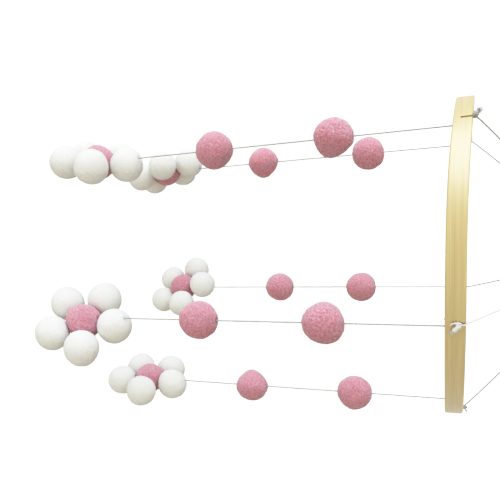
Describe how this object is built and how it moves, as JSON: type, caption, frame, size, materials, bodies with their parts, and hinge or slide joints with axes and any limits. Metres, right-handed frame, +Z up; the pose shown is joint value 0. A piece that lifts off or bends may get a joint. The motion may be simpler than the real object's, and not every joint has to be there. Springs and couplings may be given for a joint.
{
  "type": "crib mobile",
  "caption": "Hanging crib mobile: a level bamboo hoop on drawn-together cords, with strings of pink felt balls that end in pink and white felt flowers.",
  "frame": {"origin": "top of the hanging ring's eye, where a hook bears", "axes": "+Z up along the line that the mobile hangs in; the mobile hangs below the origin; -Y is the front, and the first drop is 22 degrees round from it towards +X"},
  "size_m": [0.219, 0.2407, 0.4124],
  "materials": {
    "bamboo": "pale sanded bamboo with fine straight grain along the band",
    "ring_wood": "turned wood, sanded smooth",
    "cotton_cord": "twisted off-white cotton",
    "pink_felt": "dusty pink felted wool, slightly fuzzy",
    "white_felt": "white felted wool, slightly fuzzy"
  },
  "bodies": {
    "ring": {"hanging_ring": "ring_wood"},
    "hitch": {"hanging_hitch": "cotton_cord"},
    "strands": {"hanging_strands": "cotton_cord"},
    "hoop": {"hoop": "bamboo", "gather_knot": "cotton_cord", "suspension_cord_1": "cotton_cord", "suspension_cord_2": "cotton_cord", "suspension_cord_3": "cotton_cord", "suspension_cord_4": "cotton_cord", "suspension_cord_5": "cotton_cord"},
    "drop_top_1": {"drop_cord_top_1": "cotton_cord"},
    "drop_1": {"drop_cord_1": "cotton_cord"},
    "upper_ball_1": {"upper_ball_1": "pink_felt"},
    "lower_ball_1": {"lower_ball_1": "pink_felt"},
    "flower_1": {"flower_centre_1": "pink_felt", "petal_1_1": "white_felt", "petal_1_2": "white_felt", "petal_1_3": "white_felt", "petal_1_4": "white_felt", "petal_1_5": "white_felt"},
    "drop_top_2": {"drop_cord_top_2": "cotton_cord"},
    "drop_2": {"drop_cord_2": "cotton_cord"},
    "upper_ball_2": {"upper_ball_2": "pink_felt"},
    "lower_ball_2": {"lower_ball_2": "pink_felt"},
    "flower_2": {"flower_centre_2": "pink_felt", "petal_2_1": "white_felt", "petal_2_2": "white_felt", "petal_2_3": "white_felt", "petal_2_4": "white_felt", "petal_2_5": "white_felt"},
    "drop_top_3": {"drop_cord_top_3": "cotton_cord"},
    "drop_3": {"drop_cord_3": "cotton_cord"},
    "upper_ball_3": {"upper_ball_3": "pink_felt"},
    "lower_ball_3": {"lower_ball_3": "pink_felt"},
    "flower_3": {"flower_centre_3": "pink_felt", "petal_3_1": "white_felt", "petal_3_2": "white_felt", "petal_3_3": "white_felt", "petal_3_4": "white_felt", "petal_3_5": "white_felt"},
    "drop_top_4": {"drop_cord_top_4": "cotton_cord"},
    "drop_4": {"drop_cord_4": "cotton_cord"},
    "upper_ball_4": {"upper_ball_4": "pink_felt"},
    "lower_ball_4": {"lower_ball_4": "pink_felt"},
    "flower_4": {"flower_centre_4": "pink_felt", "petal_4_1": "white_felt", "petal_4_2": "white_felt", "petal_4_3": "white_felt", "petal_4_4": "white_felt", "petal_4_5": "white_felt"},
    "drop_top_5": {"drop_cord_top_5": "cotton_cord"},
    "drop_5": {"drop_cord_5": "cotton_cord"},
    "upper_ball_5": {"upper_ball_5": "pink_felt"},
    "lower_ball_5": {"lower_ball_5": "pink_felt"},
    "flower_5": {"flower_centre_5": "pink_felt", "petal_5_1": "white_felt", "petal_5_2": "white_felt", "petal_5_3": "white_felt", "petal_5_4": "white_felt", "petal_5_5": "white_felt"}
  },
  "joints": [
    {"name": "sway_front_back", "type": "hinge", "parent": "ring", "child": "hitch", "pos_m": [0, 0, -0.02225], "axis": [1, 0, 0], "range_deg": [-20, 20]},
    {"name": "sway_sideways", "type": "hinge", "parent": "hitch", "child": "strands", "pos_m": [0, 0, -0.02625], "axis": [0, 1, 0], "range_deg": [-20, 20]},
    {"name": "hoop_spin", "type": "hinge", "parent": "strands", "child": "hoop", "pos_m": [0, 0, -0.042], "axis": [0, 0, 1], "continuous": true},
    {"name": "drop_in_out_1", "type": "hinge", "parent": "hoop", "child": "drop_top_1", "pos_m": [0.03666, -0.09073, -0.13935], "axis": [-0.9272, -0.3746, 0], "range_deg": [-8, 30]},
    {"name": "drop_sideways_1", "type": "hinge", "parent": "drop_top_1", "child": "drop_1", "pos_m": [0.03666, -0.09073, -0.1478], "axis": [0.3746, -0.9272, 0], "range_deg": [-10, 10]},
    {"name": "upper_ball_slide_1", "type": "slide", "parent": "drop_1", "child": "upper_ball_1", "axis": [0, 0, 1], "range_m": [-0.02, 0.02]},
    {"name": "lower_ball_slide_1", "type": "slide", "parent": "drop_1", "child": "lower_ball_1", "axis": [0, 0, 1], "range_m": [-0.02, 0.02]},
    {"name": "flower_turn_1", "type": "hinge", "parent": "drop_1", "child": "flower_1", "pos_m": [0.03666, -0.09073, -0.3695], "axis": [0, 0, 1], "continuous": true},
    {"name": "drop_in_out_2", "type": "hinge", "parent": "hoop", "child": "drop_top_2", "pos_m": [0.09761, 0.00683, -0.13935], "axis": [0.0698, -0.9976, 0], "range_deg": [-8, 30]},
    {"name": "drop_sideways_2", "type": "hinge", "parent": "drop_top_2", "child": "drop_2", "pos_m": [0.09761, 0.00683, -0.1478], "axis": [0.9976, 0.0698, 0], "range_deg": [-10, 10]},
    {"name": "upper_ball_slide_2", "type": "slide", "parent": "drop_2", "child": "upper_ball_2", "axis": [0, 0, 1], "range_m": [-0.02, 0.02]},
    {"name": "lower_ball_slide_2", "type": "slide", "parent": "drop_2", "child": "lower_ball_2", "axis": [0, 0, 1], "range_m": [-0.02, 0.02]},
    {"name": "flower_turn_2", "type": "hinge", "parent": "drop_2", "child": "flower_2", "pos_m": [0.09761, 0.00683, -0.3695], "axis": [0, 0, 1], "continuous": true},
    {"name": "drop_in_out_3", "type": "hinge", "parent": "hoop", "child": "drop_top_3", "pos_m": [0.02367, 0.09494, -0.13935], "axis": [0.9703, -0.2419, 0], "range_deg": [-8, 30]},
    {"name": "drop_sideways_3", "type": "hinge", "parent": "drop_top_3", "child": "drop_3", "pos_m": [0.02367, 0.09494, -0.1478], "axis": [0.2419, 0.9703, 0], "range_deg": [-10, 10]},
    {"name": "upper_ball_slide_3", "type": "slide", "parent": "drop_3", "child": "upper_ball_3", "axis": [0, 0, 1], "range_m": [-0.02, 0.02]},
    {"name": "lower_ball_slide_3", "type": "slide", "parent": "drop_3", "child": "lower_ball_3", "axis": [0, 0, 1], "range_m": [-0.02, 0.02]},
    {"name": "flower_turn_3", "type": "hinge", "parent": "drop_3", "child": "flower_3", "pos_m": [0.02367, 0.09494, -0.3765], "axis": [0, 0, 1], "continuous": true},
    {"name": "drop_in_out_4", "type": "hinge", "parent": "hoop", "child": "drop_top_4", "pos_m": [-0.08298, 0.05185, -0.13935], "axis": [0.5299, 0.848, 0], "range_deg": [-8, 30]},
    {"name": "drop_sideways_4", "type": "hinge", "parent": "drop_top_4", "child": "drop_4", "pos_m": [-0.08298, 0.05185, -0.1478], "axis": [-0.848, 0.5299, 0], "range_deg": [-10, 10]},
    {"name": "upper_ball_slide_4", "type": "slide", "parent": "drop_4", "child": "upper_ball_4", "axis": [0, 0, 1], "range_m": [-0.02, 0.02]},
    {"name": "lower_ball_slide_4", "type": "slide", "parent": "drop_4", "child": "lower_ball_4", "axis": [0, 0, 1], "range_m": [-0.02, 0.02]},
    {"name": "flower_turn_4", "type": "hinge", "parent": "drop_4", "child": "flower_4", "pos_m": [-0.08298, 0.05185, -0.3715], "axis": [0, 0, 1], "continuous": true},
    {"name": "drop_in_out_5", "type": "hinge", "parent": "hoop", "child": "drop_top_5", "pos_m": [-0.07496, -0.0629, -0.13935], "axis": [-0.6428, 0.766, 0], "range_deg": [-8, 30]},
    {"name": "drop_sideways_5", "type": "hinge", "parent": "drop_top_5", "child": "drop_5", "pos_m": [-0.07496, -0.0629, -0.1478], "axis": [-0.766, -0.6428, 0], "range_deg": [-10, 10]},
    {"name": "upper_ball_slide_5", "type": "slide", "parent": "drop_5", "child": "upper_ball_5", "axis": [0, 0, 1], "range_m": [-0.02, 0.02]},
    {"name": "lower_ball_slide_5", "type": "slide", "parent": "drop_5", "child": "lower_ball_5", "axis": [0, 0, 1], "range_m": [-0.02, 0.02]},
    {"name": "flower_turn_5", "type": "hinge", "parent": "drop_5", "child": "flower_5", "pos_m": [-0.07496, -0.0629, -0.3715], "axis": [0, 0, 1], "continuous": true}
  ]
}
